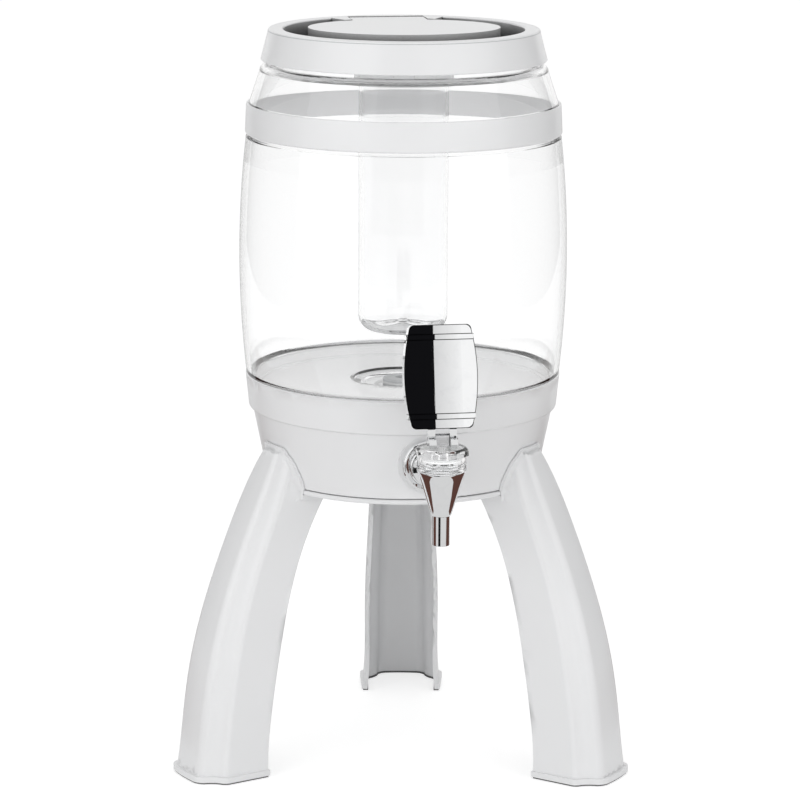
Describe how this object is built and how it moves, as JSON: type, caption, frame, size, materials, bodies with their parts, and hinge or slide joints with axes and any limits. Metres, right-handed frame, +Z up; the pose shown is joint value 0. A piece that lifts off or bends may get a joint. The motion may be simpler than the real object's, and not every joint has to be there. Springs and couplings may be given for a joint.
{
  "type": "beer tower dispenser",
  "caption": "Clear barrel-shaped drinks dispenser on a three-legged white stand, with a hanging ice tube, a hatched lid and a lift-handle tap.",
  "frame": {"origin": "on the floor plane under the feet, on the vertical axis of the barrel", "axes": "+Z up along the barrel axis; +Y to the rear leg; the tap is at the front, -Y, turned 9.5 degrees towards +X"},
  "size_m": [0.2706, 0.2965, 0.4381],
  "materials": {
    "white_plastic": "satin moulded ABS",
    "clear_plastic": "clear polycarbonate",
    "chrome_plate": "polished chrome plate",
    "stainless_steel": "plain stainless steel",
    "silicone": "translucent white silicone",
    "grey_plastic": "plain moulded acetal",
    "pad_rubber": "thin anti-slip rubber"
  },
  "bodies": {
    "stand": {"stand_ring": "white_plastic", "leg_left": "white_plastic", "leg_right": "white_plastic", "leg_rear": "white_plastic", "foot_pad_left": "pad_rubber", "foot_pad_right": "pad_rubber", "foot_pad_rear": "pad_rubber", "leg_screws": "stainless_steel"},
    "barrel": {"base_bowl": "white_plastic", "deck_plate": "white_plastic", "lower_hoop": "white_plastic", "barrel_shell": "clear_plastic", "upper_hoop": "white_plastic", "outlet_fitting": "grey_plastic", "outlet_gasket": "silicone", "outlet_nut": "grey_plastic", "outlet_hose": "silicone", "hose_clips": "stainless_steel", "tap_body": "chrome_plate", "tap_spout": "chrome_plate", "escutcheon": "chrome_plate", "tap_gasket_outer": "silicone", "tap_gasket_inner": "silicone", "tap_nut": "grey_plastic", "bonnet": "clear_plastic", "bonnet_seal": "silicone", "valve_spring": "stainless_steel", "pivot_washer": "stainless_steel", "pivot_screw": "stainless_steel"},
    "lid": {"lid_ring": "white_plastic", "lid_seal": "silicone", "hatch_pin": "stainless_steel", "tube_collar": "white_plastic", "ice_tube": "clear_plastic"},
    "hatch": {"lid_hatch": "white_plastic"},
    "stem": {"valve_stem": "grey_plastic", "seat_cup": "silicone"},
    "handle": {"tap_handle": "chrome_plate", "handle_pin": "stainless_steel"}
  },
  "joints": [
    {"name": "barrel_swivel", "type": "hinge", "parent": "stand", "child": "barrel", "pos_m": [0, 0, 0.1716], "axis": [0, 0, 1], "range_deg": [-38, 19]},
    {"name": "lid_lift", "type": "slide", "parent": "barrel", "child": "lid", "axis": [0, 0, 1], "range_m": [0, 0.19]},
    {"name": "hatch_open", "type": "hinge", "parent": "lid", "child": "hatch", "pos_m": [-0.01083, 0.0647, 0.4326], "axis": [-0.9863, -0.165, 0], "range_deg": [0, 104]},
    {"name": "stem_lift", "type": "slide", "parent": "barrel", "child": "stem", "axis": [0, 0, 1], "range_m": [0, 0.00262], "deforming": ["valve_spring"]},
    {"name": "handle_tilt", "type": "hinge", "parent": "stem", "child": "handle", "pos_m": [0.02212, -0.13216, 0.2193], "axis": [0.9863, 0.165, 0], "range_deg": [0, 50], "stiffness_Nm_per_rad": 0.08, "springref_deg": -34.38}
  ],
  "couplings": [
    {"joint": "stem_lift", "follows": "handle_tilt", "m_per_rad": 0.003}
  ]
}
